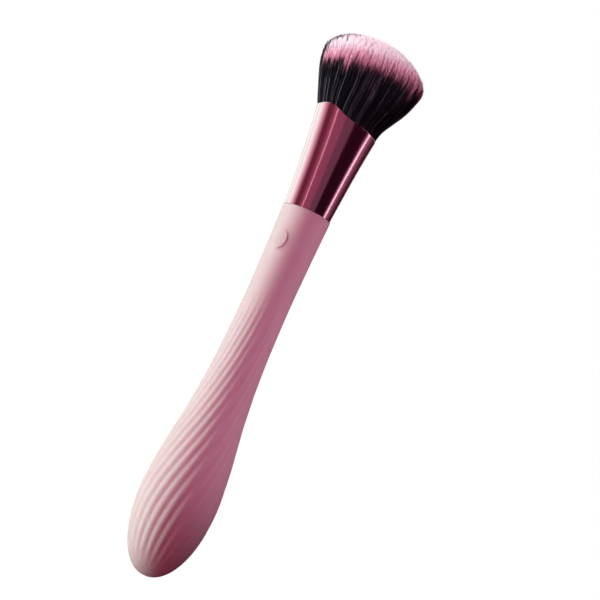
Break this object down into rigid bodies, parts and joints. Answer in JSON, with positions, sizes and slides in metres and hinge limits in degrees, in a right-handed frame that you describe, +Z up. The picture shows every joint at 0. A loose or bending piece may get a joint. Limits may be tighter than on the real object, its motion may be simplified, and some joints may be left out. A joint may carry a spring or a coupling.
{
  "type": "fade brush",
  "caption": "Soft dome-headed brush: twisted-ridge bulb handle, flared oval metal ferrule with a slanted mouth, and a springy dark tuft with pink tips, lying on its side.",
  "frame": {"origin": "on the table, under the middle of the brush as it lies on its side", "axes": "+X along the brush towards the tip of the hair, Y across the wide side of the oval head with the longer side of the ferrule at +Y, +Z up"},
  "size_m": [0.1823, 0.0346, 0.0248],
  "materials": {
    "soft_touch_pink": "soft-touch matte",
    "core_plastic": "as moulded",
    "rod_steel": "drawn bar",
    "cured_epoxy": "clear amber, cast",
    "anodised_burgundy": "polished and anodised",
    "binding_yarn": "waxed yarn",
    "dyed_filament": "fine synthetic filament"
  },
  "bodies": {
    "handle": {"handle_skin": "soft_touch_pink", "handle_core": "core_plastic", "counterweight_rod": "rod_steel", "core_plug": "core_plastic", "tenon_adhesive": "cured_epoxy", "ferrule": "anodised_burgundy", "epoxy_plug": "cured_epoxy", "binding_thread": "binding_yarn", "knot_butt": "dyed_filament"},
    "hair": {"bristle_tuft": "dyed_filament"}
  },
  "joints": [
    {"name": "tuft_flex", "type": "hinge", "parent": "handle", "child": "hair", "pos_m": [0.0625, 0, 0.0124], "axis": [0, 1, 0], "range_deg": [-25, 25], "stiffness_Nm_per_rad": 0.06, "deforming": ["bristle_tuft"]}
  ]
}
